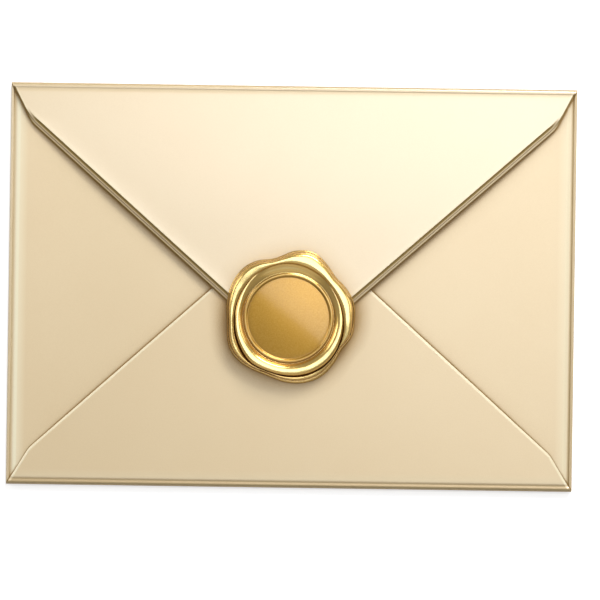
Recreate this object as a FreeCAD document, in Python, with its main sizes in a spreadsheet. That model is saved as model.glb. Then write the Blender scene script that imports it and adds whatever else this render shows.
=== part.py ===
import FreeCAD, Part
import Sketcher
import math
import os

os.makedirs("parts", exist_ok=True)

# A letter envelope of pearl card, closed with a stamped wax seal. It lies on its address side:
# Z points up, Y points to the fold of the top flap, and the origin is below the panel's middle.

doc = FreeCAD.newDocument("letter_envelope")
Vector = FreeCAD.Vector
UP = Vector(0, 0, 1)

SIZES = {
    # Outer size of the closed envelope
    "envelope_length": 162.0,
    "envelope_height": 115.0,
    # The card, the pocket that it folds around and the crease beside each fold
    "card_thickness": 0.35,
    "pocket_gap": 0.9,
    "crease_half_width": 0.55,
    "crease_depth": 0.12,
    "fold_overlap": 1.0,
    "corner_slit": 0.1,
    # How far the flaps reach past the middle, and the gap between the tips of the side flaps
    "top_flap_reach": 20.3,
    "bottom_flap_reach": 19.7,
    "side_tip_gap": 11.2,
    # Each flap narrows quickly beside its fold, down to a shoulder
    "top_shoulder_inset": 6.0,
    "top_shoulder_depth": 11.5,
    "bottom_shoulder_inset": 6.4,
    "bottom_shoulder_depth": 10.5,
    "side_shoulder_inset": 4.5,
    "side_shoulder_depth": 16.0,
    "flap_corner_radius": 8.0,
    # Border pressed into the free edge of the top flap, in two equal steps
    "border_step_width": 0.9,
    "border_press_depth": 0.3,
    "border_start": 7.0,
    # Wax seal: its place, the hollows of its outline, its rim and its floor
    "seal_shift": 0.8,
    "seal_drop": 8.9,
    "seal_radius": 17.2,
    "seal_foot_inset": 0.6,
    "seal_belly_height": 0.55,
    "seal_crest_inset": 1.7,
    "seal_rim_height": 3.2,
    "seal_floor_height": 1.5,
    # The stamp's mark: a fine ridge at the foot of a wall that leans out more at its lip
    "stamp_radius": 13.1,
    "stamp_ridge_width": 0.8,
    "stamp_ridge_height": 0.3,
    "stamp_wall_width": 1.1,
    "stamp_lip_width": 0.8,
    "stamp_lip_drop": 0.35,
    # The soft rim bulges out in lobes, at angles counted from the right
    "lobe_half_width": 20.0,
    "right_lobe_angle": 14.0,
    "right_lobe_height": 1.8,
    "upper_lobe_angle": 70.0,
    "upper_lobe_height": 2.8,
    "left_lobe_angle": 138.0,
    "left_lobe_height": 1.8,
    "lower_left_lobe_angle": 211.0,
    "lower_left_lobe_height": 1.7,
    "lower_lobe_angle": 294.0,
    "lower_lobe_height": 1.9,
    "corner_lobe_angle": 345.0,
    "corner_lobe_height": 1.4,
}

sizes = doc.addObject("Spreadsheet::Sheet", "sizes")
for row, (alias, value) in enumerate(SIZES.items(), start=1):
    sizes.set(f"A{row}", alias)
    sizes.set(f"B{row}", str(value))
    sizes.setAlias(f"B{row}", alias)
doc.recompute()

# Sizes that follow from the driving ones: heights above the table and radii of the folds
HALF_LENGTH = "sizes.envelope_length / 2"
HALF_HEIGHT = "sizes.envelope_height / 2"
SIDE_FLAP_TOP = "(2 * sizes.card_thickness + sizes.pocket_gap)"
BOTTOM_FLAP_TOP = "(3 * sizes.card_thickness + sizes.pocket_gap)"
TOP_FLAP_FACE = "(4 * sizes.card_thickness + sizes.pocket_gap + sizes.border_press_depth)"
SIDE_RADIUS = f"({SIDE_FLAP_TOP} / 2)"
BOTTOM_RADIUS = f"({BOTTOM_FLAP_TOP} / 2)"
TOP_RADIUS = f"({TOP_FLAP_FACE} / 2)"
CREASE_RADIUS = "((sizes.crease_half_width ^ 2 + sizes.crease_depth ^ 2) / (4 * sizes.crease_depth))"
STAMP_DEPTH = "(sizes.seal_rim_height - sizes.seal_floor_height)"
RUN_OUT = "(4 * sizes.flap_corner_radius)"
SEAL_CENTRE = ("-sizes.seal_shift", "-sizes.seal_drop")
LOBES = ("right", "upper", "left", "lower_left", "lower", "corner")

# Room that cutting shapes keep beyond the card, and the points that carry one seal outline
CUT_MARGIN = 5.0
OUTLINE_POINTS = 24
RIM_STEPS = 5

# Ends and centre of an arc or a line in a sketch, and the sketch's own origin and axes
START, END, CENTRE = range(1, 4)
X_AXIS, Y_AXIS = -1, -2
ORIGIN = (X_AXIS, START)


def number(expression):
    """Value in millimetres of an expression in the sheet's sizes."""
    found = sizes.evalExpression(expression.replace("sizes.", ""))
    return float(getattr(found, "Value", found))


def bind(thing, **expressions):
    """Binds properties of an object to expressions and gives the object back."""
    for prop, expression in expressions.items():
        thing.setExpression(prop, expression)
    return thing


def place(thing, position, turn=FreeCAD.Rotation()):
    """Turns an object and binds its X, Y and Z to expressions."""
    thing.Placement = FreeCAD.Placement(Vector(*map(number, position)), turn)
    for axis, expression in zip("xyz", position):
        thing.setExpression(f"Placement.Base.{axis}", expression)
    return thing


def dimension(sketch, name, kind, ends, expression):
    """Adds a named dimension to a sketch, bound to an expression."""
    index = sketch.addConstraint(Sketcher.Constraint(kind, *ends, number(expression)))
    sketch.renameConstraint(index, name)
    sketch.setExpression(f"Constraints.{name}", expression)


def line(start, end):
    """Straight line in a sketch."""
    return Part.LineSegment(Vector(*start, 0), Vector(*end, 0))


def arc(centre, radius, first, last):
    """Part of a circle in a sketch, counterclockwise from one angle to another in degrees."""
    circle = Part.Circle(Vector(*centre, 0), UP, radius)
    return Part.ArcOfCircle(circle, math.radians(first), math.radians(last))


def extruded(name, profile, direction, bottom, top):
    """Solid over a closed profile, between two heights along a direction."""
    solid = doc.addObject("Part::Extrusion", name)
    solid.Base = profile
    solid.DirMode = "Custom"
    solid.Dir = direction
    solid.Solid = True
    return bind(solid, LengthFwd=top, LengthRev=f"-({bottom})")


def tall(name, profile):
    """Cutting shape over a closed profile, through every layer of the card."""
    return extruded(name, profile, UP, f"-{CUT_MARGIN}", f"{TOP_FLAP_FACE} + {CUT_MARGIN}")


def inset(name, profile, distance, join="Arc"):
    """Copy of a closed outline moved inward, or outward where the distance is negative."""
    outline = doc.addObject("Part::Offset2D", name)
    outline.Source = profile
    outline.Join = join
    return bind(outline, Value=f"-({distance})")


def thickened(name, outer_line, thickness):
    """Section of a sheet: an open line given a thickness on its inner side."""
    section = doc.addObject("Part::Offset2D", name)
    section.Source = outer_line
    section.Mode = "Skin"
    section.Join = "Intersection"
    section.Fill = True
    return bind(section, Value=thickness)


def difference(name, base, tool):
    """One shape with another taken away."""
    result = doc.addObject("Part::Cut", name)
    result.Base = base
    result.Tool = tool
    result.Refine = True
    return result


def overlap(name, base, tool):
    """The room that two shapes share."""
    result = doc.addObject("Part::Common", name)
    result.Base = base
    result.Tool = tool
    return result


def fused(name, shapes):
    """Several shapes joined to one."""
    result = doc.addObject("Part::MultiFuse", name)
    result.Shapes = shapes
    result.Refine = True
    return result


def fold_line(name, radius, reach):
    """Outer line of a folded edge, from the panel below round to the flap above.

    It runs along the sketch's X, inward from the fold, and the sketch's Y points up. Beside
    the round fold, whose radius is half the flap's height, the flap dips into a crease and
    then runs flat as far as it reaches.
    """
    fold = number(radius)
    crease = number(CREASE_RADIUS)
    half_width = number("sizes.crease_half_width")
    slope = math.degrees(math.asin(half_width / (2 * crease)))
    valley_centre = (fold + half_width, 2 * fold - number("sizes.crease_depth") + crease)
    rise_centre = (fold + 2 * half_width, 2 * fold - crease)
    sketch = doc.addObject("Sketcher::SketchObject", name)
    tail, bend, drop, valley, rise, flat = sketch.addGeometry([
        line((fold + number("sizes.fold_overlap"), 0), (fold, 0)),
        arc((fold, fold), fold, 90, 270),
        arc((fold, 2 * fold - crease), crease, 90 - slope, 90),
        arc(valley_centre, crease, 270 - slope, 270 + slope),
        arc(rise_centre, crease, 90, 90 + slope),
        line((rise_centre[0], 2 * fold), (number(reach), 2 * fold)),
    ])
    sketch.addConstraint([
        Sketcher.Constraint("PointOnObject", tail, START, X_AXIS),
        Sketcher.Constraint("Horizontal", tail),
        Sketcher.Constraint("Tangent", tail, END, bend, END),
        Sketcher.Constraint("Tangent", bend, START, drop, END),
        Sketcher.Constraint("Tangent", drop, START, valley, START),
        Sketcher.Constraint("Tangent", valley, END, rise, END),
        Sketcher.Constraint("Tangent", rise, START, flat, START),
        Sketcher.Constraint("Horizontal", flat),
    ])
    past_valley = f"{radius} + sizes.crease_half_width"
    past_crease = f"{radius} + 2 * sizes.crease_half_width"
    dimension(sketch, "tail_end", "DistanceX", (*ORIGIN, tail, START), f"{radius} + sizes.fold_overlap")
    dimension(sketch, "fold_radius", "Radius", (bend,), radius)
    dimension(sketch, "fold_centre", "DistanceX", (*ORIGIN, bend, CENTRE), radius)
    dimension(sketch, "drop_radius", "Radius", (drop,), CREASE_RADIUS)
    dimension(sketch, "drop_centre", "DistanceX", (*ORIGIN, drop, CENTRE), radius)
    dimension(sketch, "valley_radius", "Radius", (valley,), CREASE_RADIUS)
    dimension(sketch, "valley_centre", "DistanceX", (*ORIGIN, valley, CENTRE), past_valley)
    dimension(sketch, "rise_radius", "Radius", (rise,), CREASE_RADIUS)
    dimension(sketch, "rise_centre", "DistanceX", (*ORIGIN, rise, CENTRE), past_crease)
    dimension(sketch, "flap_reach", "DistanceX", (*ORIGIN, flat, END), reach)
    return sketch


def flap_sheet(name, position, turn, radius, reach, length):
    """Card folded over along a straight edge, as long as the edge and not yet cut to a flap.

    The position is the start of the fold's outermost line, and the turn about Z points the
    flap inward. The card lies on the inner side of its outer line.
    """
    upright = FreeCAD.Rotation(Vector(1, 1, 1), 120)
    outer_line = fold_line(f"{name}_fold_line", radius, reach)
    section = thickened(f"{name}_section", outer_line, "sizes.card_thickness")
    sheet = extruded(f"{name}_sheet", section, UP, "0", length)
    return place(sheet, (*position, "0"), turn.multiply(upright))


def flap_outline(name, position, turn, half_fold, depth, shoulder):
    """Outline of a flap seen from above, with soft corners at its tip and shoulders.

    Its own X runs along the fold and its own Y inward. Below the fold the sides run on, so
    the corners there are rounded well clear of the card. The shoulder gives how far in from
    the fold's end it lies and how deep.
    """
    shoulder_inset, shoulder_depth = shoulder
    tip = (0, number(depth))
    corner = (number(half_fold), 0)
    right = (corner[0] - number(shoulder_inset), number(shoulder_depth))
    spread = number(RUN_OUT) * number(shoulder_inset) / right[1]
    right_end = (corner[0] + spread, -number(RUN_OUT))
    left = (-right[0], right[1])
    left_end = (-right_end[0], right_end[1])
    points = [tip, right, right_end, left_end, left]
    sketch = doc.addObject("Sketcher::SketchObject", f"{name}_corners")
    sides = sketch.addGeometry([line(a, b) for a, b in zip(points, points[1:] + points[:1])])
    fold_end = sketch.addGeometry(Part.Point(Vector(*corner, 0)), True)
    slant, side, base, far_side, far_slant = sides
    for first, second in zip(sides, sides[1:] + sides[:1]):
        sketch.addConstraint(Sketcher.Constraint("Coincident", first, END, second, START))
    sketch.addConstraint([
        Sketcher.Constraint("PointOnObject", slant, START, Y_AXIS),
        Sketcher.Constraint("PointOnObject", fold_end, START, X_AXIS),
        Sketcher.Constraint("PointOnObject", fold_end, START, side),
        Sketcher.Constraint("Symmetric", side, START, far_slant, START, Y_AXIS),
        Sketcher.Constraint("Symmetric", base, START, base, END, Y_AXIS),
    ])
    shoulder_half = f"{half_fold} - {shoulder_inset}"
    dimension(sketch, "depth", "DistanceY", (*ORIGIN, slant, START), depth)
    dimension(sketch, "half_fold", "DistanceX", (*ORIGIN, fold_end, START), half_fold)
    dimension(sketch, "shoulder_half", "DistanceX", (*ORIGIN, side, START), shoulder_half)
    dimension(sketch, "shoulder_depth", "DistanceY", (*ORIGIN, side, START), shoulder_depth)
    dimension(sketch, "run_out", "DistanceY", (base, START, *ORIGIN), RUN_OUT)
    place(sketch, (*position, "0"), turn)
    radius = "sizes.flap_corner_radius"
    shrunk = inset(f"{name}_shrunk", sketch, radius, "Intersection")
    return inset(f"{name}_outline", shrunk, f"-{radius}")


def back_panel():
    """Address side: the flat panel between the four folds."""
    panel = doc.addObject("Part::Box", "back_panel")
    place(panel, (f"-{HALF_LENGTH} + {SIDE_RADIUS}", f"-{HALF_HEIGHT} + {BOTTOM_RADIUS}", "0"))
    return bind(
        panel,
        Length=f"sizes.envelope_length - 2 * {SIDE_RADIUS}",
        Width=f"sizes.envelope_height - {BOTTOM_RADIUS} - {TOP_RADIUS}",
        Height="sizes.card_thickness",
    )


def side_flaps():
    """The two side flaps, folded in first. They stop short of the folds above and below."""
    inward = FreeCAD.Rotation(UP, -90)
    shoulder = ("sizes.side_shoulder_inset", "sizes.side_shoulder_depth")
    top_end = f"{HALF_HEIGHT} - {TOP_RADIUS} - sizes.corner_slit"
    length = f"sizes.envelope_height - {TOP_RADIUS} - {BOTTOM_RADIUS} - 2 * sizes.corner_slit"
    depth = f"({HALF_LENGTH} - sizes.side_tip_gap / 2)"
    sheet = flap_sheet("side", (f"-{HALF_LENGTH}", top_end), inward, SIDE_RADIUS, depth, length)
    outline = flap_outline("side", (f"-{HALF_LENGTH}", "0"), inward, HALF_HEIGHT, depth, shoulder)
    left = overlap("left_flap", sheet, tall("side_prism", outline))
    right = doc.addObject("Part::Mirroring", "right_flap")
    right.Source = left
    right.Normal = Vector(1, 0, 0)
    return [left, right]


def bottom_flap():
    """Bottom flap, glued down on the side flaps."""
    inward = FreeCAD.Rotation()
    shoulder = ("sizes.bottom_shoulder_inset", "sizes.bottom_shoulder_depth")
    depth = f"({HALF_HEIGHT} + sizes.bottom_flap_reach)"
    start = (f"-{HALF_LENGTH}", f"-{HALF_HEIGHT}")
    middle = ("0", f"-{HALF_HEIGHT}")
    sheet = flap_sheet("bottom", start, inward, BOTTOM_RADIUS, depth, "sizes.envelope_length")
    outline = flap_outline("bottom", middle, inward, HALF_LENGTH, depth, shoulder)
    return overlap("bottom_flap", sheet, tall("bottom_prism", outline))


def top_flap(outline):
    """Top flap with the two pressed steps of its border, and the flat face inside them.

    The border starts a little below the fold. The lowest step rests on the bottom flap, and
    the face stands clear of it by the depth of the press.
    """
    inward = FreeCAD.Rotation(UP, 180)
    depth = f"({HALF_HEIGHT} + sizes.top_flap_reach)"
    start = (HALF_LENGTH, HALF_HEIGHT)
    sheet = flap_sheet("top", start, inward, TOP_RADIUS, depth, "sizes.envelope_length")
    step_outline = inset("step_outline", outline, "sizes.border_step_width")
    face_outline = inset("face_outline", step_outline, "sizes.border_step_width")

    plain_strip = doc.addObject("Part::Box", "plain_strip")
    strip_start = f"{HALF_HEIGHT} - sizes.border_start"
    place(plain_strip, (f"-{HALF_LENGTH} - {RUN_OUT}", strip_start, f"-{CUT_MARGIN}"))
    bind(
        plain_strip,
        Length=f"sizes.envelope_length + 2 * {RUN_OUT}",
        Width=f"sizes.border_start + 2 * {RUN_OUT}",
        Height=f"{TOP_FLAP_FACE} + 2 * {CUT_MARGIN}",
    )
    top_end = overlap("flap_at_fold", tall("flap_prism", outline), plain_strip)
    face_prism = fused("face_prism", [tall("inner_prism", face_outline), top_end])
    face = overlap("flap_face", sheet, face_prism)

    steps = []
    for name, outer, inner, share in (
        ("lower_step", outline, step_outline, 0),
        ("upper_step", step_outline, face_outline, 0.5),
    ):
        bottom = f"{BOTTOM_FLAP_TOP} + {share} * sizes.border_press_depth"
        plate = extruded(f"{name}_plate", outer, UP, bottom, f"{bottom} + sizes.card_thickness")
        ring = difference(f"{name}_ring", plate, tall(f"{name}_inside", inner))
        steps.append(difference(name, ring, plain_strip))
    return [face, *steps]


def envelope(top_outline):
    """The whole envelope: one folded sheet, glued where the bottom flap meets the side flaps."""
    pieces = [back_panel(), *side_flaps(), bottom_flap(), *top_flap(top_outline)]
    return fused("envelope", pieces)


def lobe_bulge(angle):
    """How far the seal's outline bulges out at an angle, in millimetres."""
    bulge = 0.0
    for lobe in LOBES:
        away = (angle - number(f"sizes.{lobe}_lobe_angle") + 180) % 360 - 180
        height = number(f"sizes.{lobe}_lobe_height")
        bulge += height * math.exp(-((away / number("sizes.lobe_half_width")) ** 2))
    return bulge


def seal_outline(name, inset_distance, height):
    """Closed lobed outline of the seal at a height, moved inward from its widest line."""
    centre_x, centre_y = map(number, SEAL_CENTRE)
    points = []
    for step in range(OUTLINE_POINTS):
        angle = 360 * step / OUTLINE_POINTS
        radius = number("sizes.seal_radius") + lobe_bulge(angle) - inset_distance
        turn = math.radians(angle)
        points.append(Vector(centre_x + radius * math.cos(turn), centre_y + radius * math.sin(turn), height))
    curve = Part.BSplineCurve()
    curve.interpolate(Points=points, Parameters=list(range(OUTLINE_POINTS + 1)), PeriodicFlag=True)
    outline = doc.addObject("Part::Feature", name)
    outline.Shape = Part.Wire([curve.toShape()])
    return outline


def seal_body():
    """Poured wax: it swells from its foot to a belly, then rounds in to the crest of the rim."""
    face = number(TOP_FLAP_FACE)
    belly = number("sizes.seal_belly_height")
    rise = number("sizes.seal_rim_height") - belly
    crest_inset = number("sizes.seal_crest_inset")
    foot_inset = number("sizes.seal_foot_inset")
    outlines = [seal_outline("seal_foot", foot_inset, number(BOTTOM_FLAP_TOP))]
    for step in range(RIM_STEPS + 1):
        turn = math.radians(90 * step / RIM_STEPS)
        height = face + belly + rise * math.sin(turn)
        outlines.append(seal_outline(f"seal_rim_{step}", crest_inset * (1 - math.cos(turn)), height))
    body = doc.addObject("Part::Loft", "seal_body")
    body.Sections = outlines
    body.Solid = True
    body.Ruled = True
    return body


def stamp_mark():
    """Shape that the stamp leaves: a flat floor, a fine ridge round it, a wall and a lip.

    In the sketch X is the radius and Y the height above the floor.
    """
    foot = "sizes.stamp_radius"
    lip_foot = f"{foot} + sizes.stamp_wall_width"
    mouth = f"{lip_foot} + sizes.stamp_lip_width"
    corners = {
        "axis_foot": ("0", "0"),
        "ridge_start": (f"{foot} - sizes.stamp_ridge_width", "0"),
        "ridge_top": (f"{foot} - sizes.stamp_ridge_width / 2", "sizes.stamp_ridge_height"),
        "wall_foot": (foot, "0"),
        "lip_foot": (lip_foot, f"{STAMP_DEPTH} - sizes.stamp_lip_drop"),
        "mouth": (mouth, STAMP_DEPTH),
        "lid_rim": (mouth, f"{STAMP_DEPTH} + {CUT_MARGIN}"),
        "lid_middle": ("0", f"{STAMP_DEPTH} + {CUT_MARGIN}"),
    }
    points = [tuple(map(number, corner)) for corner in corners.values()]
    sketch = doc.addObject("Sketcher::SketchObject", "stamp_section")
    sides = sketch.addGeometry([line(a, b) for a, b in zip(points, points[1:] + points[:1])])
    for first, second in zip(sides, sides[1:] + sides[:1]):
        sketch.addConstraint(Sketcher.Constraint("Coincident", first, END, second, START))
    for side, (name, (radius, height)) in zip(sides, corners.items()):
        for axis, kind, share in (("x", "DistanceX", radius), ("y", "DistanceY", height)):
            if share == "0":
                on_axis = Y_AXIS if axis == "x" else X_AXIS
                sketch.addConstraint(Sketcher.Constraint("PointOnObject", side, START, on_axis))
            else:
                dimension(sketch, f"{name}_{axis}", kind, (*ORIGIN, side, START), share)
    floor_height = f"{TOP_FLAP_FACE} + sizes.seal_floor_height"
    place(sketch, (*SEAL_CENTRE, floor_height), FreeCAD.Rotation(Vector(1, 0, 0), 90))
    mark = doc.addObject("Part::Revolution", "stamp_mark")
    mark.Source = sketch
    mark.Axis = UP
    mark.Angle = 360
    mark.Solid = True
    for axis, expression in zip("xy", SEAL_CENTRE):
        mark.setExpression(f"Base.{axis}", expression)
    return mark


def wax_seal(paper, top_outline):
    """The seal: poured wax, stamped from above, whose underside takes the shape of the flaps."""
    stamped = difference("stamped_wax", seal_body(), stamp_mark())
    on_flaps = difference("wax_on_flaps", stamped, paper)
    flap_underside = f"{TOP_FLAP_FACE} - sizes.card_thickness"
    under_flap = extruded("under_flap", top_outline, UP, f"-{CUT_MARGIN}", flap_underside)
    return difference("wax_seal", on_flaps, under_flap)


def check(thing):
    """Stops the build where an object failed or a shape is missing or broken."""
    if {"Invalid", "Error"} & set(thing.State):
        raise RuntimeError(f"{thing.Name} failed: {thing.State}")
    if hasattr(thing, "Shape") and (thing.Shape.isNull() or not thing.Shape.isValid()):
        raise RuntimeError(f"{thing.Name} has no valid shape")


top_shoulder = ("sizes.top_shoulder_inset", "sizes.top_shoulder_depth")
top_depth = f"({HALF_HEIGHT} + sizes.top_flap_reach)"
top_outline = flap_outline(
    "top", ("0", HALF_HEIGHT), FreeCAD.Rotation(UP, 180), HALF_LENGTH, top_depth, top_shoulder
)
paper = envelope(top_outline)
seal = wax_seal(paper, top_outline)
doc.recompute()

for thing in doc.Objects:
    check(thing)

for node, label in ((paper, "envelope"), (seal, "wax_seal")):
    node.Label = label
    if len(node.Shape.Solids) != 1:
        raise RuntimeError(f"{label} has {len(node.Shape.Solids)} solids")
    node.Shape.exportStep(f"parts/{label}.step")
    box = node.Shape.BoundBox
    print(label, round(node.Shape.Volume, 1), "mm3", box)
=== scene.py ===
import logging
import math
from collections.abc import Callable
from dataclasses import dataclass, field
from enum import Enum
from typing import ClassVar

import bmesh
import bpy
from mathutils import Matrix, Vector, noise


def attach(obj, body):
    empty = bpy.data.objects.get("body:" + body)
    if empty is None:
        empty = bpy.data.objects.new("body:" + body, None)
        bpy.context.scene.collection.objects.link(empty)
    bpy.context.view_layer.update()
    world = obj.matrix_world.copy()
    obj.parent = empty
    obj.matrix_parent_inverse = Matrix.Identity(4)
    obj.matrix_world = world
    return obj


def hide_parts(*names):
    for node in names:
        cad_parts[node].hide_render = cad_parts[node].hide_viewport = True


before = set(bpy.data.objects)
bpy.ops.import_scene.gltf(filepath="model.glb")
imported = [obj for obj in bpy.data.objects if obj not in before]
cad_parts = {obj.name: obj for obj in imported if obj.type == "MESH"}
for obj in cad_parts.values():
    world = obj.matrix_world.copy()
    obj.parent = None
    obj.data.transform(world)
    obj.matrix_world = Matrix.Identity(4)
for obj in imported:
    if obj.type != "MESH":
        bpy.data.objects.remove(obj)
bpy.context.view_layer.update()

LOG = logging.getLogger("envelope")
MM = 0.001
# Mesh attribute of the light and shade painted into the card: above 0 a highlight is painted, below
# 0 shade.
TONE = "tone"
SEAL_CENTRE = (-0.77, -8.87)

Colour = tuple[float, float, float]
Profile = tuple[tuple[float, float], ...]
BLACK: Colour = (0.0, 0.0, 0.0)
WHITE: Colour = (1.0, 1.0, 1.0)


def smooth_step(value: float, low: float, high: float) -> float:
    """Ease a value from 0 at low to 1 at high.

    Args:
        value: The value to ease.
        low: Where the step begins.
        high: Where the step ends.

    Returns:
        A share from 0 to 1.
    """
    share = min(max((value - low) / (high - low), 0.0), 1.0)
    return share * share * (3.0 - 2.0 * share)


def along_profile(profile: Profile, at: float) -> float:
    """Read a height off a cross-section given by its corners.

    Args:
        profile: Pairs of distance and height, with the distances rising.
        at: The distance to read at.

    Returns:
        The height there, held level beyond either end.
    """
    if at <= profile[0][0]:
        return profile[0][1]
    for (start, low), (end, high) in zip(profile, profile[1:]):
        if at <= end:
            return low + (high - low) * (at - start) / (end - start)
    return profile[-1][1]


def laid_grid(
    sheet: bmesh.types.BMesh,
    columns: int,
    rows: int,
    place: Callable[[int, int], tuple[Vector, float]],
) -> None:
    """Add a grid of faces, lay each of its vertices where it belongs and note its tone.

    Args:
        sheet: The mesh that takes the grid, with a float layer for the tone.
        columns: Number of faces across.
        rows: Number of faces down.
        place: Gives the point of a column and a row, in millimetres, and the card's tone there.
    """
    tones = sheet.verts.layers.float[TONE]
    made = bmesh.ops.create_grid(sheet, x_segments=columns, y_segments=rows, size=1.0)
    for vertex in made["verts"]:
        column = round((vertex.co.x + 1.0) / 2.0 * columns)
        row = round((vertex.co.y + 1.0) / 2.0 * rows)
        point, vertex[tones] = place(column, row)
        vertex.co = point * MM


def finished_piece(
    name: str,
    sheet: bmesh.types.BMesh,
    crease: float,
    finish: bpy.types.Material,
    wall: float = 0.0,
) -> bpy.types.Object:
    """Turn a bmesh into a shaded piece at the origin.

    Args:
        name: Name of the piece.
        sheet: Its mesh, in metres, which is freed.
        crease: Angle in degrees above which an edge stays sharp.
        finish: The material that covers it.
        wall: Thickness in metres that an open sheet gets on its inner side.

    Returns:
        The linked object.
    """
    mesh = bpy.data.meshes.new(name)
    sheet.to_mesh(mesh)
    sheet.free()
    piece = bpy.data.objects.new(name, mesh)
    bpy.context.scene.collection.objects.link(piece)
    if wall:
        solidify = piece.modifiers.new("card", "SOLIDIFY")
        solidify.thickness, solidify.offset = wall, -1.0
        thick = piece.evaluated_get(bpy.context.evaluated_depsgraph_get())
        piece.data = bpy.data.meshes.new_from_object(thick)
        piece.modifiers.clear()
        bpy.data.meshes.remove(mesh)
        mesh = piece.data
        mesh.name = name
    mesh.shade_smooth()
    mesh.set_sharp_from_angle(angle=math.radians(crease))
    mesh.materials.append(finish)
    return piece


def background_share(tree: bpy.types.NodeTree, mirrored: float) -> bpy.types.NodeSocket:
    """Tell the rays that show the white background from those that only light the object.

    Args:
        tree: Node tree of the table's material or of the sky.
        mirrored: Share of the background's white that gloss and glass show.

    Returns:
        1 for what the camera sees, the given share for gloss and glass, and otherwise 0.
    """
    path = tree.nodes.new("ShaderNodeLightPath")
    bent = tree.nodes.new("ShaderNodeMath")
    bent.operation = "MAXIMUM"
    tree.links.new(path.outputs["Is Glossy Ray"], bent.inputs[0])
    tree.links.new(path.outputs["Is Transmission Ray"], bent.inputs[1])
    share = tree.nodes.new("ShaderNodeMath")
    share.operation = "MULTIPLY_ADD"
    share.inputs[1].default_value = mirrored
    tree.links.new(bent.outputs[0], share.inputs[0])
    tree.links.new(path.outputs["Is Camera Ray"], share.inputs[2])
    return share.outputs[0]


class Edge(Enum):
    """The four edges of the address panel, each with a flap."""

    TOP = "top"
    BOTTOM = "bottom"
    LEFT = "left"
    RIGHT = "right"

    @property
    def is_long(self) -> bool:
        """Tell whether the fold runs along the envelope's length."""
        return self in (Edge.TOP, Edge.BOTTOM)


@dataclass(frozen=True)
class RolledFold:
    """Cross-section of a fold: a rolled bead, then a crease pressed behind it.

    Distances run inwards from the envelope's outer edge, in millimetres.

    Attributes:
        radius: Outer radius of the bead.
        crease_at: Where the crease is deepest.
        crease_depth: How deep it is there.
        ramp: How far behind it the card is level again.
        turns: Number of faces round the bead.
        fall_rows: Number of rows down into the crease.
        ramp_rows: Number of rows up out of it.
    """

    radius: float
    crease_at: float
    crease_depth: float
    ramp: float
    turns: int = 14
    fall_rows: int = 5
    ramp_rows: int = 12

    def bead(self, turn: int) -> tuple[float, float]:
        """Return the distance and height of the bead after a number of its turns."""
        angle = math.pi * (turn / self.turns - 0.5)
        return self.radius * (1.0 - math.cos(angle)), self.radius * (1.0 + math.sin(angle))

    def dip(self, distance: float) -> float:
        """Tell how far the crease pulls the card down.

        Args:
            distance: Distance inwards from the outer edge.

        Returns:
            The drop, in millimetres.
        """
        if distance <= self.crease_at:
            return self.crease_depth * smooth_step(distance, self.radius, self.crease_at)
        rise = smooth_step(distance, self.crease_at, self.crease_at + self.ramp)
        return self.crease_depth * (1.0 - rise)

    def distances(self) -> list[float]:
        """Lay out the rows of the crease, close where it bends.

        Returns:
            Distances inwards from the outer edge.
        """
        fall = self.crease_at - self.radius
        down = [self.radius + fall * row / self.fall_rows for row in range(1, self.fall_rows + 1)]
        up = [
            self.crease_at + self.ramp * row / self.ramp_rows
            for row in range(1, self.ramp_rows + 1)
        ]
        return down + up


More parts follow.
